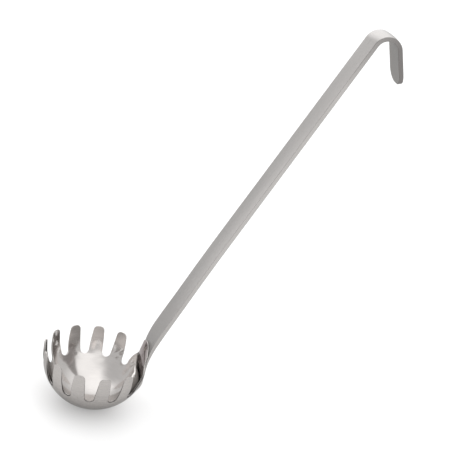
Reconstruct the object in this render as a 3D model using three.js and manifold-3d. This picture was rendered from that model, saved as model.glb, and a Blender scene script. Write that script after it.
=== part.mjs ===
// Spaghetti server: a drawn steel bowl cut into tines, spot-welded to a flat strap handle with a hook.
// Millimetres, +Z up. The origin is the bowl's lowest point, Z is the bowl's axis, the handle rises over +X.
import * as THREE from 'three';
import { mergeGeometries, mergeVertices } from 'three/addons/utils/BufferGeometryUtils.js';
import Module from 'manifold-3d';

const wasm = await Module();
wasm.setup();

// Bowl, drawn from sheet: outside radius, sheet thickness, outward lean of the wall at the tips
const BOWL_RADIUS = 41.1;
const SHEET = 1.2;
const TIP_LEAN_DEGREES = 5;

// Tines: their number, the angle from slot to slot, the height of the tips, the round of their corners
// and the least flat that the rounds leave between them
const TINE_COUNT = 10;
const TINE_PITCH_DEGREES = 27.5;
const TIP_HEIGHT = 46;
const TIP_ROUND = 3.4;
const TIP_FLAT = 0.8;

// Slots between the tines: height of the floor, radius of the round floor, width at the tips
const SLOT_FLOOR = 22.3;
const SLOT_FLOOR_RADIUS = 3.6;
const SLOT_MOUTH = 11.8;

// Neck of the bowl: how far below the slot floor it starts, how far the wall is drawn in behind the strap,
// half the width of the flat there, and the width of the fold from the flat to the round wall
const NECK_LEAD = 1;
const NECK_DRAW_IN = 4.25;
const NECK_FLAT = 14.5;
const NECK_FOLD = 7.5;

// Tab at the neck's top: how far below its top it reaches the strap's width, and the rise of its round top
const TAB_SHOULDER = 7;
const TAB_CROWN = 4.5;

// Strap handle: width at the foot and at the hook, and thickness
const STRAP_WIDTH = 26.4;
const HOOK_WIDTH = 23.3;
const STRAP_THICKNESS = 3.4;

// Foot of the strap: height, rise of its round end, the thickness that it is ground down to, the height over
// which it is ground, and the lap of the tab over it
const FOOT_HEIGHT = 35;
const FOOT_CROWN = 0.8;
const FOOT_THICKNESS = 1;
const FOOT_TAPER = 36;
const LAP_LENGTH = 22.4;

// Run of the strap: upright above the foot, bent behind the neck, slightly bowed, then straight to the hook
const FOOT_RUN = 6.1;
const BEND_RADIUS = 78;
const BOW_LENGTH = 95;
const BOW_DEGREES = 2.2;
const HANDLE_RISE_DEGREES = 66.2;
const STRAIGHT_LENGTH = 180.9;

// Hook at the top: outside radius, how far it turns, straight end and the round of its corners
const HOOK_RADIUS = 12;
const HOOK_TURN_DEGREES = 138.4;
const HOOK_END = 27.2;
const HOOK_END_ROUND = 9.8;

// Spot welds up the middle of the lap: nugget size, bite into the strap, dish of the face
const WELD_COUNT = 3;
const WELD_DIAMETER = 3.6;
const WELD_BITE = 0.6;
const WELD_DISH = 0.25;

// Clearance between pieces that touch, and how far a cutter runs past the face that it opens
const FIT_GAP = 0.3;
const CUT_PAST = 1;

// Fineness of the faceted surfaces
const TINE_COLUMNS = 4;
const NECK_COLUMNS = 24;
const STRAP_COLUMNS = 8;
const CAP_ROWS = 10;
const ROOT_ROWS = 6;
const TINE_ROWS = 6;
const TIP_ROWS = 5;
const NECK_ROWS = 16;
const BEND_ROWS = 12;
const BOW_ROWS = 6;
const HOOK_ROWS = 28;
const HOOK_END_ROWS = 9;
const WELD_SIDES = 24;
const DISH_ROWS = 3;
const MERGE_TOLERANCE = 1e-4;

const { clamp, degToRad, lerp, smoothstep, smootherstep } = THREE.MathUtils;
const QUARTER_TURN = Math.PI / 2;

const polishedSteel = new THREE.MeshStandardMaterial({ color: 0xc6c4c1, roughness: 0.14, metalness: 1 });
const satinSteel = new THREE.MeshStandardMaterial({ color: 0xb3b0ab, roughness: 0.36, metalness: 1 });
const weldedSteel = new THREE.MeshStandardMaterial({ color: 0x8f8c88, roughness: 0.42, metalness: 1 });

// Evenly spaced values from first to last, both included
function spaced(first, last, steps) {
  return Array.from({ length: steps + 1 }, (_, k) => lerp(first, last, k / steps));
}

// A patch of surface over rows and across from -1 to 1, facing the side where across and rows turn left
function patch(rows, columns, point) {
  const positions = [];
  const triangles = [];
  rows.forEach((row, r) => {
    spaced(-1, 1, columns).forEach((across, c) => {
      positions.push(...point(row, across).toArray());
      if (r === 0 || c === 0) return;
      const corner = r * (columns + 1) + c;
      const below = corner - columns - 1;
      triangles.push(below - 1, below, corner, below - 1, corner, corner - 1);
    });
  });
  const geometry = new THREE.BufferGeometry();
  geometry.setAttribute('position', new THREE.Float32BufferAttribute(positions, 3));
  geometry.setIndex(triangles);
  return geometry;
}

// An open sheet from patches that share edges, without the triangles that vanish at a pole
function joinPatches(patches) {
  const sheet = mergeVertices(mergeGeometries(patches), MERGE_TOLERANCE);
  const corners = Array.from(sheet.index.array);
  const kept = [];
  for (let k = 0; k < corners.length; k += 3) {
    const [a, b, c] = corners.slice(k, k + 3);
    if (a !== b && b !== c && c !== a) kept.push(a, b, c);
  }
  sheet.setIndex(kept);
  return sheet;
}

// A closed plate from an open sheet: the sheet is its front, and the back lies inward along the normals, by
// the thickness that the plate has at a point's height
function thicken(sheet, thickness) {
  sheet.computeVertexNormals();
  const { position, normal } = sheet.attributes;
  const front = Array.from(sheet.index.array);
  const count = position.count;
  const positions = Array.from(position.array);
  for (let k = 0; k < count; k++) {
    const point = new THREE.Vector3().fromBufferAttribute(position, k);
    const outward = new THREE.Vector3().fromBufferAttribute(normal, k);
    positions.push(...point.addScaledVector(outward, -thickness(point.z)).toArray());
  }
  const triangles = [...front];
  const edges = new Set();
  for (let k = 0; k < front.length; k += 3) {
    const [a, b, c] = front.slice(k, k + 3);
    triangles.push(a + count, c + count, b + count);
    edges.add(`${a}>${b}`).add(`${b}>${c}`).add(`${c}>${a}`);
  }
  for (const edge of edges) {
    const [a, b] = edge.split('>').map(Number);
    if (!edges.has(`${b}>${a}`)) triangles.push(b, a, a + count, b, a + count, b + count);
  }
  const plate = new THREE.BufferGeometry();
  plate.setAttribute('position', new THREE.Float32BufferAttribute(positions, 3));
  plate.setIndex(triangles);
  return plate;
}

// Boolean solid of a closed geometry, and the geometry of a boolean solid
function toSolid(geometry) {
  const bare = geometry.clone();
  bare.deleteAttribute('normal');
  bare.deleteAttribute('uv');
  const merged = mergeVertices(bare, MERGE_TOLERANCE);
  const vertProperties = new Float32Array(merged.attributes.position.array);
  const triVerts = new Uint32Array(merged.index.array);
  return new wasm.Manifold(new wasm.Mesh({ numProp: 3, vertProperties, triVerts }));
}

function toGeometry(solid) {
  const { vertProperties, triVerts } = solid.getMesh();
  const geometry = new THREE.BufferGeometry();
  geometry.setAttribute('position', new THREE.BufferAttribute(vertProperties, 3));
  geometry.setIndex(new THREE.BufferAttribute(triVerts, 1));
  geometry.computeVertexNormals();
  return geometry;
}

// Outside radius of the bowl at a height: a round bottom, then a wall that carries on straight to the tips
const tipLean = degToRad(TIP_LEAN_DEGREES);
const wallHeight = BOWL_RADIUS * (1 - Math.sin(tipLean));

function bowlRadius(height) {
  if (height <= wallHeight) return Math.sqrt(Math.max(0, height * (2 * BOWL_RADIUS - height)));
  const rise = Math.min(height, TIP_HEIGHT) - wallHeight;
  return BOWL_RADIUS * Math.cos(tipLean) + Math.max(0, rise) * Math.tan(tipLean);
}

// Slot outline: a round floor with straight sides that touch it and open out to the mouth
const tinePitch = degToRad(TINE_PITCH_DEGREES);
const floorCentre = SLOT_FLOOR + SLOT_FLOOR_RADIUS;
const sideRise = TIP_HEIGHT - floorCentre;
const sideReach = Math.hypot(SLOT_MOUTH / 2, sideRise);
const sideLean = Math.acos(SLOT_FLOOR_RADIUS / sideReach) - Math.atan2(sideRise, SLOT_MOUTH / 2);
const sideStart = floorCentre - SLOT_FLOOR_RADIUS * Math.sin(sideLean);
const tipWidth = bowlRadius(TIP_HEIGHT) * tinePitch - SLOT_MOUTH;
const tipRound = Math.min(TIP_ROUND, (tipWidth - TIP_FLAT) / 2);

// Half the width of a slot at a height
function slotHalfWidth(height) {
  const drop = floorCentre - height;
  if (height < sideStart) return Math.sqrt(Math.max(0, SLOT_FLOOR_RADIUS ** 2 - drop ** 2));
  return SLOT_FLOOR_RADIUS / Math.cos(sideLean) - drop * Math.tan(sideLean);
}

// What the round corner of a tip takes off a tine at a height
function tipCorner(height) {
  const rise = Math.max(0, height - (TIP_HEIGHT - tipRound));
  return tipRound - Math.sqrt(Math.max(0, tipRound ** 2 - rise ** 2));
}

// The strap's path in the X-Z plane, along the outside of the neck: straight runs and arcs, one after another
const handleRise = degToRad(HANDLE_RISE_DEGREES);
const handleBow = degToRad(BOW_DEGREES);
const neckBend = QUARTER_TURN - handleRise - handleBow;
const hookTurn = degToRad(HOOK_TURN_DEGREES);
const neckReach = BOWL_RADIUS - NECK_DRAW_IN;
const tabTop = FOOT_HEIGHT + LAP_LENGTH;
const bendStart = FOOT_HEIGHT + FOOT_RUN;
const bendTop = bendStart + BEND_RADIUS * Math.sin(neckBend);

// How far the outside of the neck stands from the bowl's axis, and how far it leans out, at a height
function neckLean(height) {
  const rise = clamp(height, bendStart, bendTop) - bendStart;
  return Math.asin(rise / BEND_RADIUS);
}

function neckFace(height) {
  const straight = Math.max(0, height - bendTop) * Math.tan(neckBend);
  return neckReach + BEND_RADIUS * (1 - Math.cos(neckLean(height))) + straight;
}

// Neck outline: as wide as the wall between the end slots at its root, as the strap at its shoulder
const neckAngle = Math.PI - (TINE_COUNT * tinePitch) / 2;
const shoulder = tabTop - TAB_SHOULDER;

function neckHalfAngle(height) {
  const radius = bowlRadius(height);
  const root = neckAngle - slotHalfWidth(Math.min(height, sideStart)) / radius;
  const strap = Math.asin(Math.min(1, STRAP_WIDTH / 2 / radius));
  return height < SLOT_FLOOR ? neckAngle : lerp(root, strap, smoothstep(height, sideStart, shoulder));
}

// A point of the bowl's outside: the round wall, drawn in to a flat behind the strap
function wallPoint(angle, height) {
  const radius = bowlRadius(height);
  const side = radius * Math.sin(angle);
  const drawn = smootherstep(height, SLOT_FLOOR - NECK_LEAD, FOOT_HEIGHT);
  const flat = Math.cos(angle) > 0 ? 1 - smootherstep(Math.abs(side), NECK_FLAT, NECK_FLAT + NECK_FOLD) : 0;
  return new THREE.Vector3(lerp(radius * Math.cos(angle), neckFace(height), drawn * flat), side, height);
}

// Heights of the rows: the cap below the slots, the round slot floors, then the tines or the neck
const floorTurns = spaced(0, QUARTER_TURN - sideLean, ROOT_ROWS).slice(1);
const capHeights = spaced(0, Math.acos(1 - SLOT_FLOOR / BOWL_RADIUS), CAP_ROWS)
  .map((turn) => BOWL_RADIUS * (1 - Math.cos(turn)));
const rootHeights = floorTurns.map((turn) => floorCentre - SLOT_FLOOR_RADIUS * Math.cos(turn));
const tineHeights = spaced(sideStart, TIP_HEIGHT - tipRound, TINE_ROWS).slice(1);
const tipHeights = spaced(0, QUARTER_TURN, TIP_ROWS).slice(1)
  .map((turn) => TIP_HEIGHT - tipRound * (1 - Math.sin(turn)));
const neckHeights = spaced(sideStart, tabTop, NECK_ROWS).slice(1);

function tineSector(middle) {
  const rows = [...capHeights, ...rootHeights, ...tineHeights, ...tipHeights];
  return patch(rows, TINE_COLUMNS, (height, across) => {
    if (height < SLOT_FLOOR) return wallPoint(middle + (across * tinePitch) / 2, height);
    const slot = slotHalfWidth(height) + tipCorner(height);
    return wallPoint(middle + across * (tinePitch / 2 - slot / bowlRadius(height)), height);
  });
}

function neckSector() {
  const rows = [...capHeights, ...rootHeights, ...neckHeights];
  return patch(rows, NECK_COLUMNS, (height, across) => {
    const crown = TAB_CROWN * across ** 2 * smoothstep(height, shoulder - TAB_CROWN, tabTop);
    return wallPoint(across * neckHalfAngle(height), height - crown);
  });
}

// Spot welds stand on the neck's face, evenly spaced up the lap, their own Z pointing out through the strap
const weldHeights = spaced(FOOT_HEIGHT, tabTop, WELD_COUNT + 1).slice(1, -1);

function placeOnNeck(object, height) {
  object.position.set(neckFace(height), 0, height);
  object.rotation.set(0, QUARTER_TURN + neckLean(height), 0);
  object.updateMatrix();
  return object;
}

function weldRod(radius, from, to) {
  const rod = new THREE.CylinderGeometry(radius, radius, to - from, WELD_SIDES);
  return rod.rotateX(QUARTER_TURN).translate(0, 0, (from + to) / 2);
}

// Cuts a hole or pocket at every weld of a plate, between two depths measured from the neck's face
function cutWelds(plate, from, to) {
  return weldHeights.reduce((solid, height) => {
    const rod = weldRod(WELD_DIAMETER / 2 + FIT_GAP, from, to);
    return solid.subtract(toSolid(rod.applyMatrix4(placeOnNeck(new THREE.Object3D(), height).matrix)));
  }, toSolid(plate));
}

function makeBowl() {
  const tines = Array.from({ length: TINE_COUNT }, (_, k) => tineSector(neckAngle + (k + 1 / 2) * tinePitch));
  const shell = thicken(joinPatches([neckSector(), ...tines]), () => SHEET);
  return toGeometry(cutWelds(shell, -SHEET - CUT_PAST, CUT_PAST));
}

// The strap's front face as runs of a length and a turn, walked from the foot to the end of the hook
const strapRuns = [
  { length: FOOT_RUN, turn: 0 },
  { length: (BEND_RADIUS - FIT_GAP) * neckBend, turn: neckBend },
  { length: BOW_LENGTH, turn: handleBow },
  { length: STRAIGHT_LENGTH, turn: 0 },
  { length: HOOK_RADIUS * hookTurn, turn: hookTurn },
  { length: HOOK_END, turn: 0 },
];
const strapLength = strapRuns.reduce((sum, run) => sum + run.length, 0);

function strapPoint(distance, side) {
  const place = new THREE.Vector3(neckReach + FIT_GAP, side, FOOT_HEIGHT);
  let heading = QUARTER_TURN;
  let left = distance;
  for (const run of strapRuns) {
    const step = Math.min(left, run.length);
    const turn = (run.turn * step) / run.length;
    const chord = run.turn === 0 ? step : (2 * run.length * Math.sin(turn / 2)) / run.turn;
    place.x += chord * Math.cos(heading - turn / 2);
    place.z += chord * Math.sin(heading - turn / 2);
    heading -= turn;
    left -= step;
  }
  return place;
}

// Half width of the strap: an even taper from the bend to the hook, and round corners at the end of the hook
const taperStart = strapRuns[0].length + strapRuns[1].length;
const hookStart = taperStart + BOW_LENGTH + STRAIGHT_LENGTH;
const endRound = Math.min(HOOK_END_ROUND, HOOK_WIDTH / 2, HOOK_END);

function strapHalfWidth(distance) {
  const taper = clamp((distance - taperStart) / (hookStart - taperStart), 0, 1);
  const past = Math.max(0, distance - (strapLength - endRound));
  const corner = endRound - Math.sqrt(Math.max(0, endRound ** 2 - past ** 2));
  return lerp(STRAP_WIDTH, HOOK_WIDTH, taper) / 2 - corner;
}

// Thickness of the strap at a height: the foot is ground down on its back
function strapThickness(height) {
  return lerp(FOOT_THICKNESS, STRAP_THICKNESS, smoothstep(height, FOOT_HEIGHT, FOOT_HEIGHT + FOOT_TAPER));
}

function makeStrap() {
  const endStart = strapLength - endRound;
  const rows = [
    0,
    ...spaced(FOOT_RUN, taperStart, BEND_ROWS),
    ...spaced(taperStart, taperStart + BOW_LENGTH, BOW_ROWS).slice(1),
    ...spaced(hookStart, strapLength - HOOK_END, HOOK_ROWS),
    ...spaced(0, QUARTER_TURN, HOOK_END_ROWS).map((turn) => endStart + endRound * Math.sin(turn)),
  ];
  const face = patch(rows, STRAP_COLUMNS, (distance, across) => {
    const crown = FOOT_CROWN * across ** 2 * (1 - smoothstep(distance, 0, taperStart));
    return strapPoint(distance + crown, -across * strapHalfWidth(distance));
  });
  const strap = thicken(joinPatches([face]), strapThickness);
  return toGeometry(cutWelds(strap, -CUT_PAST, FIT_GAP + WELD_BITE));
}

// A weld nugget: a short round plug through the tab into the strap, with the dish that the electrode leaves
function makeWeld() {
  const radius = WELD_DIAMETER / 2;
  const dish = spaced(0, 1, DISH_ROWS)
    .map((share) => new THREE.Vector2(radius * share, WELD_DISH * (1 - share ** 2) - SHEET));
  const profile = [
    ...dish,
    new THREE.Vector2(radius, WELD_BITE),
    new THREE.Vector2(0, WELD_BITE),
  ];
  return new THREE.LatheGeometry(profile, WELD_SIDES).rotateX(QUARTER_TURN);
}

function addPiece(group, name, geometry, material) {
  const mesh = new THREE.Mesh(geometry, material);
  mesh.name = name;
  group.add(mesh);
  return mesh;
}

const server = new THREE.Group();
addPiece(server, 'tined_bowl', makeBowl(), polishedSteel);
addPiece(server, 'handle_strap', makeStrap(), satinSteel);
weldHeights.forEach((height, k) => {
  placeOnNeck(addPiece(server, `spot_weld_${k + 1}`, makeWeld(), weldedSteel), height);
});

export default server;
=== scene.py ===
"""Spaghetti server: a polished tined bowl, a satin strap handle and their spot welds, round the solids."""
import math

import bmesh
import bpy
from mathutils import Matrix, Vector


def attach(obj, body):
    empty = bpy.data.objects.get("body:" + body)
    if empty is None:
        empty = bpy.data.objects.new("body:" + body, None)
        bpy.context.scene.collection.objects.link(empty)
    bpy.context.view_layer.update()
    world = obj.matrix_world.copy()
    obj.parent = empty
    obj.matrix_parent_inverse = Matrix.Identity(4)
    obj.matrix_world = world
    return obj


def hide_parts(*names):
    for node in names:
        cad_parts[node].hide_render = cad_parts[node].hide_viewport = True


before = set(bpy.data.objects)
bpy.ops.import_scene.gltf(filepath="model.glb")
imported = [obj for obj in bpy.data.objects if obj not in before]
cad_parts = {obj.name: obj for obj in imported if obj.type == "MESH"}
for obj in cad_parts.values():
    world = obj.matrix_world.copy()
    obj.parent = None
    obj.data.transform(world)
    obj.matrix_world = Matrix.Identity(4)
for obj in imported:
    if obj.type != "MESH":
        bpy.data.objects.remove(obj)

bl_info = {
    "name": "Spaghetti server",
    "version": (1, 0, 0),
    "blender": (4, 5, 0),
    "location": "3D View > Sidebar > Server",
    "description": "Builds a steel spaghetti server round its packed solids",
    "category": "Object",
}

MM = 0.001
BODY = "root"
QUARTER_TURN = math.pi / 2

# Mesh fineness
TINE_COLUMNS = 14
NECK_COLUMNS = 64
CAP_ROWS = 34
ROOT_ROWS = 8
TINE_ROWS = 22
TIP_ROWS = 9
NECK_ROWS = 72
STRAP_COLUMNS = 16
BEND_ROWS = 36
STRAIGHT_ROWS = 90
HOOK_ROWS = 48
HOOK_END_ROWS = 24
END_ROUND_ROWS = 12
EDGE_STEPS = 4
WELD_SIDES = 32
WELD_ROWS = 8

# Points closer than the first, in metres, are one. Slopes are taken over the second, in metres or radians.
MERGE_DISTANCE = 1e-6
SLOPE_STEP = 1e-5


def length(name, millimetres, description):
    """A length, given in millimetres and kept in metres."""
    return bpy.props.FloatProperty(
        name=name, description=description, default=millimetres * MM, precision=5, unit="LENGTH",
        subtype="DISTANCE")


def angle(name, degrees, description):
    """An angle, given in degrees and kept in radians."""
    return bpy.props.FloatProperty(
        name=name, description=description, default=math.radians(degrees), unit="ROTATION", subtype="ANGLE")


def how_many(name, number, least, description):
    """A count of like things."""
    return bpy.props.IntProperty(name=name, description=description, default=number, min=least)


def share(name, value, description):
    """A plain number from 0 upwards, such as a roughness or a light level."""
    return bpy.props.FloatProperty(name=name, description=description, default=value, min=0, precision=3)


def colour(name, value, description):
    """A linear colour."""
    return bpy.props.FloatVectorProperty(
        name=name, description=description, default=value, size=3, min=0, max=1, subtype="COLOR")


def place(name, millimetres, description):
    """A point, given in millimetres and kept in metres."""
    return bpy.props.FloatVectorProperty(
        name=name, description=description, default=[v * MM for v in millimetres], size=3, unit="LENGTH",
        subtype="TRANSLATION")


class BowlSizes(bpy.types.PropertyGroup):
    """Sizes of the tined bowl and of the neck that joins it to the strap."""

    radius: length("Radius", 41.1, "Outside radius of the round bowl")
    sheet: length("Sheet", 1.2, "Thickness of the bowl's sheet")
    edge_round: length("Edge round", 0.35, "Round on the punched edges")
    tip_lean: angle("Tip lean", 5, "Outward lean of the wall at the tips")
    tines: how_many("Tines", 10, 2, "How many tines stand round the bowl")
    tine_pitch: angle("Tine pitch", 27.5, "Angle from one tine to the next")
    tip_height: length("Tip height", 46, "Height of the tips above the bowl's lowest point")
    tip_round: length("Tip round", 3.4, "Radius of the corners of a tip")
    slot_floor: length("Slot floor", 22.3, "Height of the floor of a slot")
    slot_floor_radius: length("Slot floor radius", 3.6, "Radius of the round floor of a slot")
    slot_mouth: length("Slot mouth", 11.8, "Width of a slot between the tips")
    neck_lead: length("Neck lead", 1, "How far below the slot floor the neck starts")
    neck_draw_in: length("Neck draw-in", 4, "How far the wall is drawn in behind the strap")
    neck_flat: length("Neck flat", 14.5, "Half the width of the flat behind the strap")
    neck_fold: length("Neck fold", 7.5, "Width of the fold from the flat to the round wall")
    tab_shoulder: length("Tab shoulder", 7, "How far below the tab's top the neck has the strap's width")
    tab_crown: length("Tab crown", 4.5, "Rise of the tab's round top")
    tab_edge: length("Tab edge", 0.75, "Thickness that the tab's round top is ground down to")
    tab_taper: length("Tab taper", 8, "Length over which the tab's top is ground down")


class StrapSizes(bpy.types.PropertyGroup):
    """Sizes of the strap handle and its hook."""

    width: length("Width", 26.4, "Width at the foot")
    hook_width: length("Hook width", 23.3, "Width at the hook")
    thickness: length("Thickness", 3.4, "Thickness of the strap")
    foot_thickness: length("Foot thickness", 1, "Thickness that the foot is ground down to")
    foot_taper: length("Foot taper", 36, "Length over which the foot is ground down")
    edge_round: length("Edge round", 0.5, "Round on the strap's long edges")
    fit_gap: length("Fit gap", 0.05, "Gap left between the tab and the strap that it is pressed on")
    crown: length("Crown", 0.6, "Rise of the strap's slightly rounded front over its long edges")
    foot_height: length("Foot height", 35, "Height of the strap's foot behind the neck")
    foot_crown: length("Foot crown", 0.8, "Rise of the foot's round end")
    lap: length("Lap", 22.4, "Lap of the tab over the strap")
    foot_run: length("Foot run", 6.1, "Upright run above the foot")
    bend_radius: length("Bend radius", 78, "Radius of the bend behind the neck")
    rise: angle("Rise", 66.2, "Rise of the straight run")
    bow: angle("Bow", 2.2, "Slight turn of the bowed run above the bend")
    bow_length: length("Bow length", 95, "Length of the bowed run")
    straight: length("Straight", 180.9, "Length of the straight run")
    hook_radius: length("Hook radius", 12, "Outside radius of the hook")
    hook_turn: angle("Hook turn", 138.4, "How far the hook turns over")
    hook_end: length("Hook end", 27.2, "Straight end of the hook")
    hook_end_round: length("Hook end round", 9.8, "Radius of the corners of the hook's end")


class WeldSizes(bpy.types.PropertyGroup):
    """Sizes of the spot welds up the middle of the lap."""

    count: how_many("Welds", 3, 1, "How many welds stand up the lap")
    diameter: length("Diameter", 3.6, "Diameter of the dent that the electrode leaves")
    dish: length("Dish", 0.25, "Depth of the dent")
    nugget: length("Nugget", 2.6, "Diameter of the dull nugget in the dent")
    proud: length("Proud", 0.04, "How far the nugget's middle stands out of the dent")
    bite: length("Bite", 0.6, "How far the nugget reaches into the strap")
    # Painted shade on the neck round the row of welds: full out to the first distance, gone by the second
    neck_shade_core: length("Heat core", 8, "How far from the row of welds the metal is dulled all over")
    neck_shade_reach: length("Heat reach", 19, "How far from the row of welds the heat tint fades out")


class FinishLooks(bpy.types.PropertyGroup):
    """Colours and roughness of the finishes, and where they change along a piece."""

    polished: colour("Polished steel", (0.54, 0.518, 0.504), "Colour of the bowl's polished inside")
    polished_roughness: share("Polished roughness", 0.1, "Roughness of the bowl's polished inside")
    # The outside's colour is set darker than the polished inside's: painted shade, for the shadowed floor
    # that the outside reflects
    outside: colour("Outside", (0.455, 0.433, 0.418), "Colour of the bowl's outside")
    outside_roughness: share("Outside roughness", 0.24, "Roughness of the bowl's outside")
    satin: colour("Satin steel", (0.376, 0.363, 0.354), "Colour of the strap's satin front")
    satin_roughness: share("Satin roughness", 0.3, "Roughness of the strap's satin front")
    # The strap's back is duller, and its darker colour is also painted shade, for the shade inside the hook
    dull: colour("Dull steel", (0.285, 0.275, 0.266), "Colour of the strap's back and of the hook's inside")
    dull_roughness: share("Dull roughness", 0.36, "Roughness of the strap's back")
    cut_edge: colour("Cut edge", (0.45, 0.434, 0.42), "Colour of the cut edges")
    cut_edge_roughness: share("Cut edge roughness", 0.2, "Roughness of the cut edges")
    # Painted shade: the outer half of the bowl's cut edges goes near-black, for the dark lines of shade along
    # the slots; between the two heights it fades to a share of that at the tips
    edge_shade: colour("Torn edge", (0.05, 0.047, 0.045), "Colour of the bowl's edges that the punch tore")
    tip_edge_shade: share("Torn tips", 0.3, "Share of the torn edges' darkness that is left on the buffed tips")
    edge_shade_fade_start: length("Buff start", 37, "Height from which the tines' edges are buffed")
    edge_shade_fade_end: length("Buff end", 43, "Height above which the tines' edges are fully buffed")
    # Painted shade: the neck round the welds is darker and keeps less light at a low angle, for the dark
    # surroundings that it reflects
    neck_shade: colour("Heat tint", (0.48, 0.45, 0.445), "Colour of the neck where the welds' heat dulled it")
    glance: colour("Glance", (0.62, 0.62, 0.62), "Light that clean steel keeps at a low angle")
    neck_shade_glance: colour("Heat glance", (0.44, 0.405, 0.405), "Light that a dulled neck keeps at a low angle")
    # Painted shade: the strap's lower run is darker, lightening between the two runs
    lower_run_shade: share("Weld dulling", 0.86, "Share of the strap's lightness that is left above the welds")
    lower_run_shade_start: length("Dulling start", 30, "Run along the strap up to which it is dulled most")
    lower_run_shade_end: length("Dulling end", 110, "Run along the strap where the dulling ends")
    # Painted shade: the strap's edges darken towards the hook, between the two runs
    hook_edge_shade: colour("Unground edge", (0.2, 0.189, 0.184), "Colour of the strap's unground edges at the hook")
    hook_edge_shade_start: length("Unground start", 275, "Run along the strap where its edges begin to be unground")
    hook_edge_shade_end: length("Unground end", 340, "Run along the strap from which its edges are unground")
    weld: colour("Weld", (0.24, 0.23, 0.22), "Colour of a weld's nugget")
    weld_tint: colour("Weld tint", (0.3, 0.24, 0.17), "Heat tint round a weld's nugget")


# Soft sides of the studio room, in degrees: compass angle from +X, height, reach of the core and of the rim
ROOM_SIDES = {
    "ceiling": (0, 90, 36, 62),
    "top_panel": (176, 75, 6, 46),
    "back_wall": (88, 10, 22, 44),
    "back_panel": (86, 22, 14, 27),
    "side_panel": (138, 0, 6, 20),
    "key_panel": (292, 50, 12, 36),
    "front_panel": (256, 30, 8, 20),
    "shaded_side": (190, 35, 12, 40),
}


class StageLooks(bpy.types.PropertyGroup):
    """The camera, the floor and the studio light."""

    camera: place("Camera", (-113.07, -756.65, 479.83), "Where the camera stands")
    aim: place("Aim", (80.64, 0, 163.49), "What the camera points at")
    roll: angle("Roll", 12.87, "How far the camera is rolled")
    view: angle("View", 23.16, "Angle of view across the square picture")
    floor: length("Floor", 9000, "How far the floor reaches to each side")
    floor_colour: colour("Floor colour", (0.68, 0.68, 0.68), "Colour of the pale floor")
    floor_glow: share("Floor glow", 0.23, "Light that the floor adds where the camera or the metal sees it")
    room: share("Room", 0.9, "Light level of the room's walls")
    ceiling: share("Ceiling", 1.3, "Light level of the ceiling")
    top_panel: share("Top panel", 1.8, "Light level of the softbox over the server")
    back_wall: share("Back wall", 1.35, "Light level of the wall behind the server")
    back_panel: share("Back panel", 2.8, "Light level of the softbox behind the server")
    side_panel: share("Side panel", 2.6, "Light level of the low softbox to the left behind the server")
    key_panel: share("Key panel", 1.7, "Light level of the softbox to the right of the camera")
    front_panel: share("Front panel", 1.5, "Light level of the wall over the camera")
    shaded_side: share("Shaded side", 0.82, "Light level of the shaded side")


def smoothstep(value, low, high):
    """Rises from 0 at low to 1 at high, level at both ends."""
    step = min(max((value - low) / (high - low), 0), 1)
    return step * step * (3 - 2 * step)


def smootherstep(value, low, high):
    """Rises from 0 at low to 1 at high, level and straight at both ends."""
    step = min(max((value - low) / (high - low), 0), 1)
    return step ** 3 * (step * (6 * step - 15) + 10)


def mix(first, last, part):
    """The value a part of the way from first to last."""
    return first + (last - first) * part


def spaced(first, last, steps):
    """Evenly spaced values from first to last, both included."""
    return [mix(first, last, k / steps) for k in range(steps + 1)]


def corner_cut(radius, past):
    """What a round corner takes off a half width, a distance past the corner's start."""
    return radius - math.sqrt(max(0, radius ** 2 - max(0, past) ** 2))


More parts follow.
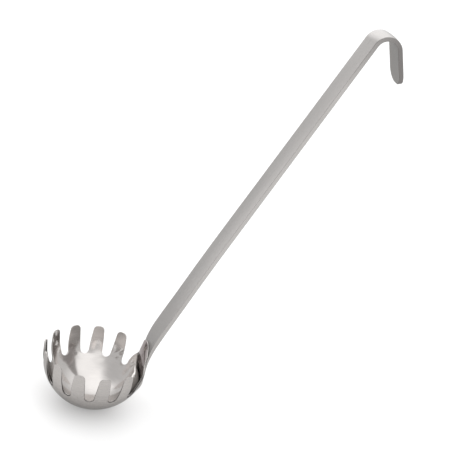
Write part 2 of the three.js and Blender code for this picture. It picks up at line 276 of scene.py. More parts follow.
class ServerShape:
    """The server's surfaces, worked out from the sizes of its bowl, strap and welds."""

    def __init__(self, scene):
        bowl, strap = scene.server_bowl, scene.server_strap
        self.bowl, self.strap, self.welds = bowl, strap, scene.server_welds
        self.wall_height = bowl.radius * (1 - math.sin(bowl.tip_lean))
        self.floor_centre = bowl.slot_floor + bowl.slot_floor_radius
        side_rise = bowl.tip_height - self.floor_centre
        side_reach = math.hypot(bowl.slot_mouth / 2, side_rise)
        self.side_lean = (math.acos(bowl.slot_floor_radius / side_reach)
                          - math.atan2(side_rise, bowl.slot_mouth / 2))
        self.tip_start = bowl.tip_height - bowl.tip_round
        self.neck_angle = math.pi - bowl.tines * bowl.tine_pitch / 2
        self.neck_reach = bowl.radius - bowl.neck_draw_in
        self.neck_bend = QUARTER_TURN - strap.rise - strap.bow
        self.tab_top = strap.foot_height + strap.lap
        self.shoulder = self.tab_top - bowl.tab_shoulder
        self.bend_start = strap.foot_height + strap.foot_run
        self.bend_top = self.bend_start + strap.bend_radius * math.sin(self.neck_bend)
        self.strap_runs = (
            (strap.foot_run, 0),
            ((strap.bend_radius - strap.fit_gap) * self.neck_bend, self.neck_bend),
            (strap.bow_length, strap.bow),
            (strap.straight, 0),
            (strap.hook_radius * strap.hook_turn, strap.hook_turn),
            (strap.hook_end, 0),
        )
        self.strap_length = sum(run for run, turn in self.strap_runs)
        self.taper_start = self.strap_runs[0][0] + self.strap_runs[1][0]
        self.weld_pitch = strap.lap / (self.welds.count + 1)
        self.weld_heights = [strap.foot_height + self.weld_pitch * (k + 1) for k in range(self.welds.count)]

    def bowl_radius(self, height):
        """Outside radius of the bowl at a height: a round bottom, then a straight wall up to the tips."""
        bowl = self.bowl
        if height <= self.wall_height:
            return math.sqrt(max(0, height * (2 * bowl.radius - height)))
        rise = min(height, bowl.tip_height) - self.wall_height
        return bowl.radius * math.cos(bowl.tip_lean) + max(0, rise) * math.tan(bowl.tip_lean)

    def wall_run(self, height):
        """Distance up the bowl's wall from its lowest point to a height."""
        bowl = self.bowl
        low = min(height, self.wall_height)
        straight = max(0, height - self.wall_height) / math.cos(bowl.tip_lean)
        return bowl.radius * math.acos(1 - low / bowl.radius) + straight

    def side_start(self, inset):
        """Height where a slot's straight side, set in from the metal's edge, leaves the round floor."""
        return self.floor_centre - (self.bowl.slot_floor_radius + inset) * math.sin(self.side_lean)

    def slot_half_width(self, height, inset):
        """Half the width of a slot at a height, with its outline set into the metal."""
        floor_radius = self.bowl.slot_floor_radius + inset
        drop = self.floor_centre - height
        if height < self.side_start(inset):
            return math.sqrt(max(0, floor_radius ** 2 - drop ** 2))
        return floor_radius / math.cos(self.side_lean) - drop * math.tan(self.side_lean)

    def neck_face(self, height):
        """How far the neck's outside stands from the bowl's axis at a height: upright, bent, straight."""
        rise = min(max(height, self.bend_start), self.bend_top) - self.bend_start
        lean = math.asin(rise / self.strap.bend_radius)
        curved = self.strap.bend_radius * (1 - math.cos(lean))
        straight = max(0, height - self.bend_top) * math.tan(self.neck_bend)
        return self.neck_reach + curved + straight

    def neck_half_angle(self, height, inset):
        """Half the neck's width, as an angle round the bowl, at a height."""
        if height < self.bowl.slot_floor - inset:
            return self.neck_angle
        radius = self.bowl_radius(height)
        start = self.side_start(inset)
        between_slots = self.neck_angle - self.slot_half_width(min(height, start), inset) / radius
        over_strap = math.asin(min(1, (self.strap.width / 2 - inset) / radius))
        return mix(between_slots, over_strap, smoothstep(height, start, self.shoulder))

    def wall_point(self, turn, height):
        """A point of the bowl's outside: the round wall, drawn in to a flat behind the strap."""
        bowl = self.bowl
        radius = self.bowl_radius(height)
        side = radius * math.sin(turn)
        reach = radius * math.cos(turn)
        if reach > 0:
            drawn = smootherstep(height, bowl.slot_floor - bowl.neck_lead, self.strap.foot_height)
            flat = 1 - smootherstep(abs(side), bowl.neck_flat, bowl.neck_flat + bowl.neck_fold)
            reach = mix(reach, self.neck_face(height), drawn * flat)
        return Vector((reach, side, height))

    def wall_turn(self, point):
        """The angle round the bowl that wall_point has for a point of the bowl's outside."""
        if point.x > abs(point.y):
            return math.asin(point.y / self.bowl_radius(point.z))
        return math.atan2(point.y, point.x)

    def wall_normal(self, point):
        """The outward normal at a point of the bowl's outside."""
        if point.z < SLOPE_STEP:
            return Vector((0, 0, -1))
        turn, height = self.wall_turn(point), point.z
        around = self.wall_point(turn + SLOPE_STEP, height) - self.wall_point(turn - SLOPE_STEP, height)
        # A short step near the bowl's lowest point, so that the lower point stays above it
        rise = min(SLOPE_STEP, height / 4)
        upward = self.wall_point(turn, height + rise) - self.wall_point(turn, height - rise)
        return around.normalized().cross(upward.normalized()).normalized()

    def strap_place(self, distance):
        """The point of the strap's front at a distance from its foot, and its heading there."""
        x, z = self.neck_reach + self.strap.fit_gap, self.strap.foot_height
        heading, left = QUARTER_TURN, distance
        for run, turn in self.strap_runs:
            step = min(left, run)
            turned = turn * step / run
            chord = 2 * run * math.sin(turned / 2) / turn if turn else step
            x += chord * math.cos(heading - turned / 2)
            z += chord * math.sin(heading - turned / 2)
            heading -= turned
            left -= step
        return x, z, heading

    def strap_half_width(self, distance, inset):
        """Half the strap's width: an even taper up to the hook, and round corners at the hook's end."""
        strap = self.strap
        taper = min(max((distance - self.taper_start) / (strap.bow_length + strap.straight), 0), 1)
        past = distance - (self.strap_length - strap.hook_end_round)
        cut = corner_cut(strap.hook_end_round - inset, past)
        return mix(strap.width, strap.hook_width, taper) / 2 - inset - cut

    def strap_depth(self, point):
        """Depth of the strap behind a point of its front. Its back is ground down towards the foot."""
        strap = self.strap
        full = smoothstep(point.z, strap.foot_height, strap.foot_height + strap.foot_taper)
        return mix(strap.foot_thickness, strap.thickness, full)

    def from_neck(self, point, height):
        """Distance of a point from the middle of the neck's outside at a height."""
        return (point - Vector((self.neck_face(height), 0, height))).length

    def bowl_depth(self, point):
        """Depth of the sheet behind a point of the outside, thin at the tab's top and dented at the welds."""
        bowl, welds = self.bowl, self.welds
        top = self.tab_top - bowl.tab_crown * (point.y / (self.strap.width / 2)) ** 2
        depth = mix(bowl.tab_edge, bowl.sheet, smoothstep(top - point.z, 0, bowl.tab_taper))
        for height in self.weld_heights:
            across = self.from_neck(point, height) / (welds.diameter / 2)
            depth -= welds.dish * max(0, 1 - across ** 2) ** 2
        return depth

    def neck_shading(self, point):
        """How much painted shade a point of the bowl gets round the row of welds, from 1 beside the welds to
        0.
        """
        height = min(max(point.z, self.weld_heights[0]), self.weld_heights[-1])
        return 1 - smoothstep(self.from_neck(point, height), self.welds.neck_shade_core, self.welds.neck_shade_reach)


class Sheet:
    """An open sheet: points with their normals, faces, and named marks for the finish at each point."""

    def __init__(self, points, normals, faces, **marks):
        self.points, self.normals, self.faces, self.marks = points, normals, faces, marks


def patch(rows, columns, point):
    """Points over rows and across from -1 to 1, and the quads between them."""
    points = [point(row, across) for row in rows for across in spaced(-1, 1, columns)]
    wide = columns + 1
    faces = []
    for r in range(len(rows) - 1):
        for c in range(columns):
            corner = r * wide + c
            faces.append((corner, corner + 1, corner + wide + 1, corner + wide))
    return points, faces


def borders(faces):
    """The edges that only one face has, each as the point that follows a point."""
    edges = {(face[k - 1], face[k]) for face in faces for k in range(len(face))}
    return {a: b for a, b in edges if (b, a) not in edges}


def fall(depth_at, point):
    """How fast a depth falls off sideways and upwards at a point, as a vector."""
    steps = (Vector((0, SLOPE_STEP, 0)), Vector((0, 0, SLOPE_STEP)))
    slopes = [(depth_at(point - step) - depth_at(point + step)) / (2 * SLOPE_STEP) for step in steps]
    return Vector((0, *slopes))


def marked_mesh(name, points, faces, **marks):
    """A mesh with an attribute on its points for each list of numbers or vectors."""
    mesh = bpy.data.meshes.new(name)
    mesh.from_pydata(points, [], faces)
    for key, values in marks.items():
        if isinstance(values[0], Vector):
            layer = mesh.attributes.new(key, "FLOAT_VECTOR", "POINT")
            layer.data.foreach_set("vector", [v for vector in values for v in vector])
        else:
            layer = mesh.attributes.new(key, "FLOAT", "POINT")
            layer.data.foreach_set("value", values)
    return mesh


def rounded_plate(name, sheet, depth_at, edge_round):
    """A closed mesh: the sheet is the front, the back lies inward, and a rounded rim joins them.

    The sheet's outline is set in by the round, so the rim stands out to the plate's true edge. For a point
    of the front, depth_at gives the plate's depth there. The marks gain back, 1 on the back, and cut_edge,
    1 on the rim.
    """
    count = len(sheet.points)
    points, normals = list(sheet.points), list(sheet.normals)
    for point, normal in zip(sheet.points, sheet.normals):
        points.append(point - normal * depth_at(point))
        normals.append((fall(depth_at, point) - normal).normalized())
    faces = list(sheet.faces) + [tuple(k + count for k in reversed(face)) for face in sheet.faces]
    marks = {key: list(values) * 2 for key, values in sheet.marks.items()}
    marks["back"] = [0.0] * count + [1.0] * count
    marks["cut_edge"] = [0.0] * (2 * count)

    follow = borders(sheet.faces)
    lead = {b: a for a, b in follow.items()}
    turns = [QUARTER_TURN * (k + 1) / EDGE_STEPS for k in range(EDGE_STEPS)]
    rings = {}
    for a in sorted(follow):
        normal = sheet.normals[a]
        out = (sheet.points[follow[a]] - sheet.points[lead[a]]).cross(normal).normalized()
        rings[a] = [a]
        for start, side, order in ((a, 1, turns), (a + count, -1, reversed(turns))):
            centre = points[start] - normal * side * edge_round
            for turn in order:
                outward = normal * side * math.cos(turn) + out * math.sin(turn)
                rings[a].append(len(points))
                points.append(centre + outward * edge_round)
                normals.append(outward)
                for key, values in sheet.marks.items():
                    marks[key].append(values[a])
                marks["back"].append(0.0 if side > 0 else 1.0)
                marks["cut_edge"].append(math.sin(turn))
        rings[a].append(a + count)
    for a, b in sorted(follow.items()):
        for k in range(len(rings[a]) - 1):
            faces.append((rings[b][k], rings[a][k], rings[a][k + 1], rings[b][k + 1]))

    mesh = marked_mesh(name, points, faces, **marks)
    mesh.shade_smooth()
    mesh.normals_split_custom_set_from_vertices(normals)
    return mesh


def add_object(name, data):
    """A new object in the scene, at the origin."""
    thing = bpy.data.objects.new(name, data)
    bpy.context.scene.collection.objects.link(thing)
    return thing


def set_inputs(tree, node, inputs):
    """Sets a node's inputs to values or links them to other nodes' outputs."""
    for key, value in inputs.items():
        if isinstance(value, bpy.types.NodeSocket):
            tree.links.new(value, node.inputs[key])
        else:
            node.inputs[key].default_value = value


def add_node(tree, kind, inputs=None, **settings):
    """Adds a node with its settings and inputs, and returns its outputs."""
    node = tree.nodes.new(kind)
    for key, value in settings.items():
        setattr(node, key, value)
    set_inputs(tree, node, inputs or {})
    return node.outputs


def calculate(tree, operation, first, second=0.0):
    """The output of a Math node."""
    return add_node(tree, "ShaderNodeMath", {0: first, 1: second}, operation=operation)[0]


def new_geometry_tree(name, sizes):
    """A geometry tree with a geometry input and output, named number inputs and a material input."""
    tree = bpy.data.node_groups.new(name, "GeometryNodeTree")
    tree.interface.new_socket("Geometry", in_out="OUTPUT", socket_type="NodeSocketGeometry")
    numbers = {label: "Int" if isinstance(value, int) else "Float" for label, value in sizes.items()}
    for label, kind in {"Geometry": "Geometry", **numbers, "Finish": "Material"}.items():
        tree.interface.new_socket(label, in_out="INPUT", socket_type=f"NodeSocket{kind}")
    return tree, add_node(tree, "NodeGroupInput")


def counted_points(tree, count, first, pitch):
    """Points at the origin, and a number for each that starts at first and grows by a pitch."""
    points = add_node(tree, "GeometryNodeMeshLine", {"Count": count, "Offset": (0, 0, 0)})[0]
    index = add_node(tree, "GeometryNodeInputIndex")[0]
    return points, calculate(tree, "ADD", calculate(tree, "MULTIPLY", index, pitch), first)


def end_geometry_tree(tree, given, points, **turns):
    """Puts a turned copy of the given mesh on each point, makes the copies real, merges and finishes them."""
    copies = add_node(tree, "GeometryNodeInstanceOnPoints", {
        "Points": points,
        "Instance": given["Geometry"],
        "Rotation": add_node(tree, "ShaderNodeCombineXYZ", turns)[0],
    })[0]
    real = add_node(tree, "GeometryNodeRealizeInstances", {"Geometry": copies})[0]
    merged = add_node(tree, "GeometryNodeMergeByDistance", {"Geometry": real, "Distance": MERGE_DISTANCE})[0]
    done = add_node(tree, "GeometryNodeSetMaterial", {"Geometry": merged, "Material": given["Finish"]})[0]
    add_node(tree, "NodeGroupOutput", {"Geometry": done})


def run_geometry_tree(tree, mesh, sizes, finish):
    """The plain mesh that a geometry tree makes of a mesh, with its inputs set to sizes and a finish."""
    carrier = add_object(mesh.name, mesh)
    modifier = carrier.modifiers.new(tree.name, "NODES")
    modifier.node_group = tree
    values = {**sizes, "Finish": finish}
    for socket in tree.interface.items_tree:
        if socket.in_out == "INPUT" and socket.name in values:
            modifier[socket.identifier] = values[socket.name]
    carrier.update_tag()
    made = bpy.data.meshes.new_from_object(carrier.evaluated_get(bpy.context.evaluated_depsgraph_get()))
    carrier.modifiers.remove(modifier)
    bpy.data.objects.remove(carrier)
    return made


def tine_ring(shape, sector, finish):
    """Turns copies of one tine's sector round the bowl's axis."""
    sizes = {
        "Tines": shape.bowl.tines,
        "Pitch": shape.bowl.tine_pitch,
        "First turn": shape.neck_angle + shape.bowl.tine_pitch / 2,
    }
    tree, given = new_geometry_tree("Tine ring", sizes)
    points, turn = counted_points(tree, given["Tines"], given["First turn"], given["Pitch"])
    end_geometry_tree(tree, given, points, Z=turn)
    return run_geometry_tree(tree, sector, sizes, finish)


def weld_row(shape, nugget, finish):
    """Stands copies of one weld nugget up the lap, each square to the neck's curved face."""
    sizes = {
        "Welds": shape.welds.count,
        "First height": shape.weld_heights[0],
        "Pitch": shape.weld_pitch,
        "Neck reach": shape.neck_reach,
        "Bend start": shape.bend_start,
        "Bend radius": shape.strap.bend_radius,
    }
    tree, given = new_geometry_tree("Weld row", sizes)
    points, height = counted_points(tree, given["Welds"], given["First height"], given["Pitch"])
    rise = calculate(tree, "MAXIMUM", calculate(tree, "SUBTRACT", height, given["Bend start"]), 0.0)
    lean = calculate(tree, "ARCSINE", calculate(tree, "DIVIDE", rise, given["Bend radius"]))
    curve = calculate(tree, "SUBTRACT", 1.0, calculate(tree, "COSINE", lean))
    curved = calculate(tree, "MULTIPLY", curve, given["Bend radius"])
    reach = calculate(tree, "ADD", given["Neck reach"], curved)
    spot = add_node(tree, "ShaderNodeCombineXYZ", {"X": reach, "Z": height})[0]
    placed = add_node(tree, "GeometryNodeSetPosition", {"Geometry": points, "Position": spot})[0]
    end_geometry_tree(tree, given, placed, Y=calculate(tree, "ADD", lean, QUARTER_TURN))
    return run_geometry_tree(tree, nugget, sizes, finish)


# Most of a noise lies in the first span. The others are parts of a mark over which a look sets in or ends.
NOISE_SPAN = (0.3, 0.7)
WHOLE_SPAN = (0.0, 1.0)
FLAT_EDGE_SPAN = (0.75, 0.98)
DARK_EDGE_SPAN = (0.15, 0.6)
EDGE_SHADE_SPAN = (0.6, 1.0)

# Noises of the finishes, in cycles to the metre, and depths of their bumps, in metres
SMUDGES = (28.0,) * 3
WAVES = (75.0,) * 3
MOTTLES = (320.0,) * 3
PITS = (2600.0,) * 3
WAVE_DEPTH = 2e-5
WAVE_STRENGTH = 0.5
PIT_DEPTH = 1e-5
PIT_STRENGTH = 0.6

# Levels that a finish's colour or roughness is taken to, and parts of another colour that are laid over it
GRAIN_LEVELS = (0.95, 1.05)
SMUDGE_LEVELS = (1.0, 0.95)
# A painted highlight: the rims' rounded corners are lighter
CORNER_HIGHLIGHT_LEVEL = 1.25
CORNER_HIGHLIGHT_PART = 0.6
MOTTLE_PARTS = (0.75, 1.0)
PIT_LEVEL = 0.7
PIT_PARTS = (0.0, 0.5)
PIT_ROUGHNESS = (0.36, 0.52)


def new_finish(name):
    """A metal material, its node tree and its shader."""
    material = bpy.data.materials.new(name)
    material.use_nodes = True
    tree = material.node_tree
    shader = tree.nodes["Principled BSDF"]
    set_inputs(tree, shader, {"Metallic": 1})
    return material, tree, shader


def attribute(tree, name, output="Fac"):
    """One of the marks on the piece's own points."""
    return add_node(tree, "ShaderNodeAttribute", attribute_name=name)[output]


def noise(tree, vector, scale, detail=2.0):
    """The value of a noise texture over a vector stretched by a scale on each axis."""
    stretched = add_node(tree, "ShaderNodeVectorMath", {0: vector, 1: scale}, operation="MULTIPLY")[0]
    return add_node(tree, "ShaderNodeTexNoise", {"Vector": stretched, "Scale": 1.0, "Detail": detail})[0]


def ranged(tree, value, ends, span=NOISE_SPAN):
    """Maps a value over a span to the numbers at its two ends."""
    limits = {"Value": value, "From Min": span[0], "From Max": span[1], "To Min": ends[0], "To Max": ends[1]}
    return add_node(tree, "ShaderNodeMapRange", limits)[0]


def blend(tree, part, first, last):
    """A colour that goes from first to last."""
    return add_node(tree, "ShaderNodeMix", {0: part, 6: first, 7: last}, data_type="RGBA")[2]


def scaled(tree, tone, level):
    """A colour made lighter or darker by a level."""
    return add_node(tree, "ShaderNodeVectorMath", {0: tone, "Scale": level}, operation="SCALE")[0]


def opaque(rgb, level=1.0):
    """A colour with its alpha, made lighter or darker."""
    return (*(min(1.0, v * level) for v in rgb), 1.0)


def steel(name, front, back, looks, grain_scale, grain_depth, roughness_spread, anisotropy):
    """Steel with a grain that follows the piece's runs, faint smudges, and dull cut edges whose rounded
    corners get a painted highlight.

    Front and back are the colour and the roughness of the plate's two sides. Returns the material, its node
    tree, its shader and its colour.
    """
    front_tone, front_roughness = front
    back_tone, back_roughness = back
    material, tree, shader = new_finish(name)
    where = add_node(tree, "ShaderNodeTexCoord")["Object"]
    grain = noise(tree, attribute(tree, "run", "Vector"), grain_scale)
    smudge = noise(tree, where, SMUDGES, detail=3.0)
    wave = noise(tree, where, WAVES, detail=1.0)
    behind = attribute(tree, "back")
    edge = attribute(tree, "cut_edge")
    flat_edge = ranged(tree, edge, (0.0, 1.0), FLAT_EDGE_SPAN)
    corner = calculate(tree, "MULTIPLY", edge, calculate(tree, "SUBTRACT", 1.0, flat_edge))

    grained = ranged(tree, grain, GRAIN_LEVELS)
    level = calculate(tree, "MULTIPLY", grained, ranged(tree, smudge, SMUDGE_LEVELS))
    toned = scaled(tree, blend(tree, behind, opaque(front_tone), opaque(back_tone)), level)
    # Painted highlight: the rims' rounded corners take a lighter colour
    corner_highlight = calculate(tree, "MULTIPLY", corner, CORNER_HIGHLIGHT_PART)
    highlighted_corners = blend(tree, corner_highlight, toned, opaque(back_tone, CORNER_HIGHLIGHT_LEVEL))
    tone = blend(tree, flat_edge, highlighted_corners, opaque(looks.cut_edge))

    sided = ranged(tree, behind, (front_roughness, back_roughness), WHOLE_SPAN)
    brushed = calculate(tree, "ADD", sided, ranged(tree, grain, (-roughness_spread, roughness_spread)))
    smeared = calculate(tree, "ADD", brushed, ranged(tree, smudge, (0.0, roughness_spread)))
    lift = calculate(tree, "MULTIPLY", flat_edge, looks.cut_edge_roughness - front_roughness)

    bump = {"Strength": WAVE_STRENGTH, "Distance": WAVE_DEPTH, "Height": wave}
    waved = add_node(tree, "ShaderNodeBump", bump)[0]
    bump = {"Strength": 1.0, "Distance": grain_depth, "Height": grain, "Normal": waved}
    set_inputs(tree, shader, {
        "Base Color": tone,
        "Roughness": calculate(tree, "ADD", smeared, lift),
        "Normal": add_node(tree, "ShaderNodeBump", bump)[0],
        "Specular Tint": opaque(looks.glance),
        "Anisotropic": anisotropy,
        "Tangent": attribute(tree, "grain", "Vector"),
    })
    return material, tree, shader, tone


def polished_steel(looks):
    """The bowl's polish: fine lines round the bowl, painted shade on the neck round the welds and painted
    shade on the outer half of the cut edges.
    """
    # The outside's darker colour is painted shade
    outside = (looks.outside, looks.outside_roughness)
    inside = (looks.polished, looks.polished_roughness)
    material, tree, shader, clean = steel(
        "polished steel", outside, inside, looks, grain_scale=(2600.0, 60.0, 60.0), grain_depth=4e-7,
        roughness_spread=0.04, anisotropy=0.2)
    where = add_node(tree, "ShaderNodeTexCoord")["Object"]
    edge = attribute(tree, "cut_edge")
    # Painted shade on the neck round the welds, mottled and kept off the cut edges, with less light kept at a
    # low angle
    mottled = ranged(tree, noise(tree, where, MOTTLES, detail=3.0), MOTTLE_PARTS)
    face = calculate(tree, "SUBTRACT", mottled, edge)
    neck_shade_part = calculate(tree, "MULTIPLY", attribute(tree, "neck_shading"), face)
    neck_shaded = blend(tree, neck_shade_part, clean, opaque(looks.neck_shade))

    # Painted shade: the outer half of the cut edges goes near-black, less towards the tips
    outer = ranged(tree, attribute(tree, "back"), (1.0, 0.0), EDGE_SHADE_SPAN)
    height = add_node(tree, "ShaderNodeSeparateXYZ", {0: where})["Z"]
    edge_shade_by_height = ranged(tree, height, (1.0, looks.tip_edge_shade), (looks.edge_shade_fade_start, looks.edge_shade_fade_end))
    rim = ranged(tree, edge, (0.0, 1.0), DARK_EDGE_SPAN)
    edge_shade_part = calculate(tree, "MULTIPLY", rim, calculate(tree, "MULTIPLY", outer, edge_shade_by_height))
    set_inputs(tree, shader, {
        "Base Color": blend(tree, edge_shade_part, neck_shaded, opaque(looks.edge_shade)),
        "Specular Tint": blend(tree, neck_shade_part, opaque(looks.glance), opaque(looks.neck_shade_glance)),
    })
    return material


def satin_steel(looks):
    """The strap's satin, brushed along it, with painted shade on its lower run above the welds and on its
    edges at the hook.
    """
    front = (looks.satin, looks.satin_roughness)
    # The back's darker colour is partly painted shade inside the hook
    back = (looks.dull, looks.dull_roughness)
    material, tree, shader, ground = steel(
        "satin steel", front, back, looks, grain_scale=(60.0, 5200.0, 60.0), grain_depth=2e-6,
        roughness_spread=0.06, anisotropy=0.45)
    along = add_node(tree, "ShaderNodeSeparateXYZ", {0: attribute(tree, "run", "Vector")})["X"]
    # Painted shade: the edges darken towards the hook
    upper = ranged(tree, along, (0.0, 1.0), (looks.hook_edge_shade_start, looks.hook_edge_shade_end))
    rim = ranged(tree, attribute(tree, "cut_edge"), (0.0, 1.0), DARK_EDGE_SPAN)
    edged = blend(tree, calculate(tree, "MULTIPLY", upper, rim), ground, opaque(looks.hook_edge_shade))
    # Painted shade: the lower run is darker
    level = ranged(tree, along, (looks.lower_run_shade, 1.0), (looks.lower_run_shade_start, looks.lower_run_shade_end))
    set_inputs(tree, shader, {"Base Color": scaled(tree, edged, level)})
    return material


def weld_steel(looks):
    """A weld's dull, pitted nugget, with a heat tint towards its rim."""
    material, tree, shader = new_finish("weld steel")
    pits = noise(tree, add_node(tree, "ShaderNodeTexCoord")["Object"], PITS, detail=3.0)
    tinted = blend(tree, attribute(tree, "cut_edge"), opaque(looks.weld), opaque(looks.weld_tint))
    bump = {"Strength": PIT_STRENGTH, "Distance": PIT_DEPTH, "Height": pits}
    set_inputs(tree, shader, {
        "Base Color": blend(tree, ranged(tree, pits, PIT_PARTS), tinted, opaque(looks.weld, PIT_LEVEL)),
        "Roughness": ranged(tree, pits, PIT_ROUGHNESS),
        "Normal": add_node(tree, "ShaderNodeBump", bump)[0],
    })
    return material


def finish_piece(piece, material, slot, *nodes):
    """Gives a piece its finish and its body, and hides the solids that it stands for. The slot is not used.
    """
    piece.data.materials.clear()
    piece.data.materials.append(material)
    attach(piece, BODY)
    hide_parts(*nodes)


def root_rows(shape, inset):
    """Heights of the rows from the bowl's lowest point to where the slots' straight sides start."""
    bowl = shape.bowl
    floor_radius = bowl.slot_floor_radius + inset
    cap_turns = spaced(0, math.acos(1 - (bowl.slot_floor - inset) / bowl.radius), CAP_ROWS)
    floor_turns = spaced(0, QUARTER_TURN - shape.side_lean, ROOT_ROWS)[1:]
    rows = [bowl.radius * (1 - math.cos(turn)) for turn in cap_turns]
    return rows + [shape.floor_centre - floor_radius * math.cos(turn) for turn in floor_turns]


def tine_sector(shape, inset):
    """One tine with its slice of the bowl below it, facing +X."""
    bowl = shape.bowl
    corner = bowl.tip_round - inset
    rows = root_rows(shape, inset)
    rows += spaced(shape.side_start(inset), shape.tip_start, TINE_ROWS)[1:]
    rows += [shape.tip_start + corner * math.sin(turn) for turn in spaced(0, QUARTER_TURN, TIP_ROWS)[1:]]

    def point(height, across):
        half = bowl.tine_pitch / 2
        radius = shape.bowl_radius(height)
        if height >= bowl.slot_floor - inset:
            slot = shape.slot_half_width(height, inset) + corner_cut(corner, height - shape.tip_start)
            half -= slot / radius
        turn = across * half
        return Vector((radius * math.cos(turn), radius * math.sin(turn), height))

    return patch(rows, TINE_COLUMNS, point)


def neck_sector(shape, inset):
    """The neck and tab with their slice of the bowl below."""
    rows = root_rows(shape, inset)
    rows += spaced(shape.side_start(inset), shape.tab_top - inset, NECK_ROWS)[1:]
    crown_start = shape.shoulder - shape.bowl.tab_crown

    def point(height, across):
        crown = shape.bowl.tab_crown * across ** 2 * smoothstep(height, crown_start, shape.tab_top)
        return shape.wall_point(across * shape.neck_half_angle(height, inset), height - crown)

    return patch(rows, NECK_COLUMNS, point)


def bowl_sheet(shape, finish):
    """The outside of the bowl as one sheet: the ring of tines joined to the neck."""
    inset = shape.bowl.edge_round
    ring = tine_ring(shape, marked_mesh("tine_sector", *tine_sector(shape, inset)), finish)
    neck = marked_mesh("neck_sector", *neck_sector(shape, inset))
    joined = bmesh.new()
    for mesh in (ring, neck):
        joined.from_mesh(mesh)
        bpy.data.meshes.remove(mesh)
    bmesh.ops.remove_doubles(joined, verts=joined.verts, dist=MERGE_DISTANCE)
    joined.verts.index_update()
    points = [vertex.co.copy() for vertex in joined.verts]
    faces = [tuple(vertex.index for vertex in face.verts) for face in joined.faces]
    joined.free()
    return Sheet(
        points, [shape.wall_normal(p) for p in points], faces,
        run=[Vector((shape.wall_run(p.z), shape.bowl.radius * math.atan2(p.y, p.x), 0)) for p in points],
        grain=[Vector((-p.y, p.x, SLOPE_STEP)).normalized() for p in points],
        neck_shading=[shape.neck_shading(p) for p in points])


def strap_sheet(shape):
    """The strap's front face as one sheet, from the foot to the end of the hook."""
    strap = shape.strap
    inset = strap.edge_round
    hook_start = shape.taper_start + strap.bow_length + strap.straight
    hook_stop = shape.strap_length - strap.hook_end
    end_start = shape.strap_length - strap.hook_end_round
    rows = [inset] + spaced(strap.foot_run, shape.taper_start, BEND_ROWS)
    rows += spaced(shape.taper_start, hook_start, STRAIGHT_ROWS)[1:]
    rows += spaced(hook_start, hook_stop, HOOK_ROWS)[1:]
    rows += spaced(hook_stop, end_start, HOOK_END_ROWS)[1:]
    rows += [end_start + (strap.hook_end_round - inset) * math.sin(turn)
             for turn in spaced(0, QUARTER_TURN, END_ROUND_ROWS)[1:]]

    def run(distance, across):
        crown = strap.foot_crown * across ** 2 * (1 - smoothstep(distance, 0, shape.taper_start))
        return Vector((distance + crown, -across * shape.strap_half_width(distance, inset), 0))

    runs, faces = patch(rows, STRAP_COLUMNS, run)
    half = strap.width / 2
    crown_end = 2 * shape.taper_start
    points, normals, grains = [], [], []
    for spot in runs:
        x, z, heading = shape.strap_place(spot.x)
        front = Vector((-math.sin(heading), 0, math.cos(heading)))
        crown = strap.crown * smoothstep(spot.x, shape.taper_start, crown_end)
        points.append(Vector((x, spot.y, z)) - front * crown * (spot.y / half) ** 2)
        normals.append((front + Vector((0, 2 * crown * spot.y / half ** 2, 0))).normalized())
        grains.append(Vector((math.cos(heading), 0, math.sin(heading))))
    return Sheet(points, normals, faces, run=runs, grain=grains)


def weld_nugget(shape):
    """One weld's nugget: a dished face that just stands out of its dent, on a short plug into the strap."""
    welds, sheet = shape.welds, shape.bowl.sheet
    radius = welds.nugget / 2
    profile = []
    for part in spaced(0, 1, WELD_ROWS)[1:]:
        dent = welds.dish * (1 - (radius * part / (welds.diameter / 2)) ** 2) ** 2
        # Proud in the middle, and sunk as far at the rim
        proud = welds.proud * (1 - 2 * part ** 2)
        profile.append((radius * part, dent - sheet - proud, part))
    profile.append((radius, welds.bite, 1.0))
    points = [Vector((0, 0, welds.dish - sheet - welds.proud))]
    rim = [0.0]
    for reach, depth, part in profile:
        for k in range(WELD_SIDES):
            turn = 2 * math.pi * k / WELD_SIDES
            points.append(Vector((reach * math.cos(turn), reach * math.sin(turn), depth)))
            rim.append(part)
    faces = []
    for k in range(WELD_SIDES):
        near, far = k + 1, (k + 1) % WELD_SIDES + 1
        faces.append((0, far, near))
        for r in range(len(profile) - 1):
            low = r * WELD_SIDES
            faces.append((low + near, low + far, low + WELD_SIDES + far, low + WELD_SIDES + near))
    last = (len(profile) - 1) * WELD_SIDES + 1
    faces.append(tuple(range(last, last + WELD_SIDES)))
    mesh = marked_mesh("weld_nugget", points, faces, cut_edge=rim)
    mesh.shade_smooth()
    return mesh


class SERVER_OT_tined_bowl(bpy.types.Operator):
    """Builds the polished bowl with its tines, neck and tab."""

    bl_idname = "server.tined_bowl"
    bl_label = "Tined bowl"

    def execute(self, context):
        shape = ServerShape(context.scene)
        finish = polished_steel(context.scene.server_looks)
        sheet = bowl_sheet(shape, finish)
        mesh = rounded_plate("polished_bowl", sheet, shape.bowl_depth, shape.bowl.edge_round)
        finish_piece(add_object("polished_bowl", mesh), finish, "polished_steel", "tined_bowl")
        return {"FINISHED"}


class SERVER_OT_handle_strap(bpy.types.Operator):
    """Builds the satin strap with its bend and hook."""

    bl_idname = "server.handle_strap"
    bl_label = "Handle strap"

    def execute(self, context):
        shape = ServerShape(context.scene)
        finish = satin_steel(context.scene.server_looks)
        sheet = strap_sheet(shape)
        mesh = rounded_plate("satin_strap", sheet, shape.strap_depth, shape.strap.edge_round)
        finish_piece(add_object("satin_strap", mesh), finish, "satin_steel", "handle_strap")
        return {"FINISHED"}


class SERVER_OT_spot_welds(bpy.types.Operator):
    """Builds the row of spot welds up the lap."""

    bl_idname = "server.spot_welds"
    bl_label = "Spot welds"

    def execute(self, context):
        shape = ServerShape(context.scene)
        finish = weld_steel(context.scene.server_looks)
        mesh = weld_row(shape, weld_nugget(shape), finish)
        nodes = [f"spot_weld_{k + 1}" for k in range(shape.welds.count)]
        finish_piece(add_object("spot_welds", mesh), finish, "weld_steel", *nodes)
        return {"FINISHED"}


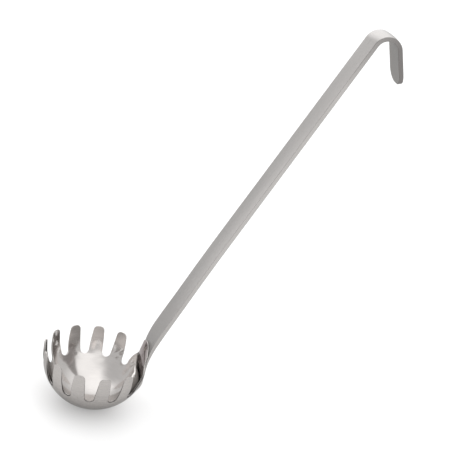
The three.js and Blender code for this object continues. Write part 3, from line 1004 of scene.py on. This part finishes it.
def pale_floor(looks):
    """A matt, pale material with a faint glow where the camera or the metal sees it."""
    material = bpy.data.materials.new("pale floor")
    material.use_nodes = True
    tree = material.node_tree
    tree.nodes.clear()
    matt = add_node(tree, "ShaderNodeBsdfDiffuse", {"Color": opaque(looks.floor_colour)})[0]
    path = add_node(tree, "ShaderNodeLightPath")
    seen = calculate(tree, "MAXIMUM", path["Is Camera Ray"], path["Is Glossy Ray"])
    seen = calculate(tree, "MAXIMUM", seen, path["Is Transmission Ray"])
    level = calculate(tree, "MULTIPLY", seen, looks.floor_glow)
    glow = add_node(tree, "ShaderNodeEmission", {"Strength": level})[0]
    both = add_node(tree, "ShaderNodeAddShader", {0: matt, 1: glow})[0]
    add_node(tree, "ShaderNodeOutputMaterial", {"Surface": both})
    return material


def add_floor(looks):
    """A pale floor that keeps the server's shadow."""
    corners = [(x * looks.floor, y * looks.floor, 0) for x, y in ((-1, -1), (1, -1), (1, 1), (-1, 1))]
    floor = add_object("floor", marked_mesh("floor", corners, [(0, 1, 2, 3)]))
    floor.data.materials.append(pale_floor(looks))


def facing(tree, direction, compass, height, core, rim):
    """Rises from 0 to 1 where a direction nears a side of the room, between its rim and its core."""
    compass, height, core, rim = (math.radians(turn) for turn in (compass, height, core, rim))
    side = (math.cos(height) * math.cos(compass), math.cos(height) * math.sin(compass), math.sin(height))
    near = add_node(tree, "ShaderNodeVectorMath", {0: direction, 1: side}, operation="DOT_PRODUCT")
    limits = {"Value": near["Value"], "From Min": math.cos(rim), "From Max": math.cos(core)}
    return add_node(tree, "ShaderNodeMapRange", limits, interpolation_type="SMOOTHSTEP")[0]


def add_room(looks):
    """A plain studio room whose sides are softly lit or shaded."""
    world = bpy.data.worlds.new("studio room")
    world.use_nodes = True
    tree = world.node_tree
    direction = add_node(tree, "ShaderNodeTexCoord")["Generated"]
    level = looks.room
    for side, (compass, height, core, rim) in ROOM_SIDES.items():
        part = facing(tree, direction, compass, height, core, rim)
        level = add_node(tree, "ShaderNodeMix", {0: part, 2: level, 3: getattr(looks, side)})[0]
    set_inputs(tree, tree.nodes["Background"], {"Strength": level, "Color": (1, 1, 1, 1)})
    bpy.context.scene.world = world


def add_camera(looks):
    """The camera, aimed and rolled to give the photograph's view."""
    data = bpy.data.cameras.new("camera")
    data.angle = looks.view
    camera = add_object("camera", data)
    aimed = (Vector(looks.aim) - Vector(looks.camera)).to_track_quat("-Z", "Y").to_matrix().to_4x4()
    camera.matrix_world = Matrix.Translation(looks.camera) @ aimed @ Matrix.Rotation(looks.roll, 4, "Z")
    bpy.context.scene.camera = camera


class SERVER_OT_stage(bpy.types.Operator):
    """Sets up the floor, the studio light and the camera."""

    bl_idname = "server.stage"
    bl_label = "Stage"

    def execute(self, context):
        looks = context.scene.server_stage
        add_camera(looks)
        add_floor(looks)
        add_room(looks)
        context.scene.view_settings.view_transform = "Standard"
        return {"FINISHED"}


class SERVER_PT_sidebar(bpy.types.Panel):
    """Lists the server's pieces, and the sizes and looks that can be changed."""

    bl_idname = "SERVER_PT_sidebar"
    bl_label = "Spaghetti server"
    bl_space_type = "VIEW_3D"
    bl_region_type = "UI"
    bl_category = "Server"

    def draw(self, context):
        for operator in OPERATORS:
            self.layout.operator(operator.bl_idname)
        for group, name in GROUPS.items():
            self.layout.label(text=group.__doc__)
            for key in group.__annotations__:
                self.layout.prop(getattr(context.scene, name), key)


GROUPS = {
    BowlSizes: "server_bowl",
    StrapSizes: "server_strap",
    WeldSizes: "server_welds",
    FinishLooks: "server_looks",
    StageLooks: "server_stage",
}
OPERATORS = (SERVER_OT_tined_bowl, SERVER_OT_handle_strap, SERVER_OT_spot_welds, SERVER_OT_stage)


def register():
    """Adds the property groups, operators and panel."""
    for group, name in GROUPS.items():
        bpy.utils.register_class(group)
        setattr(bpy.types.Scene, name, bpy.props.PointerProperty(type=group))
    for kind in (*OPERATORS, SERVER_PT_sidebar):
        bpy.utils.register_class(kind)


def unregister():
    """Removes the panel, operators and property groups."""
    for kind in (SERVER_PT_sidebar, *OPERATORS):
        bpy.utils.unregister_class(kind)
    for group, name in GROUPS.items():
        delattr(bpy.types.Scene, name)
        bpy.utils.unregister_class(group)


def main():
    """Builds the server and its stage."""
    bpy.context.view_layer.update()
    register()
    bpy.ops.server.tined_bowl()
    bpy.ops.server.handle_strap()
    bpy.ops.server.spot_welds()
    bpy.ops.server.stage()


if __name__ == "__main__":
    main()
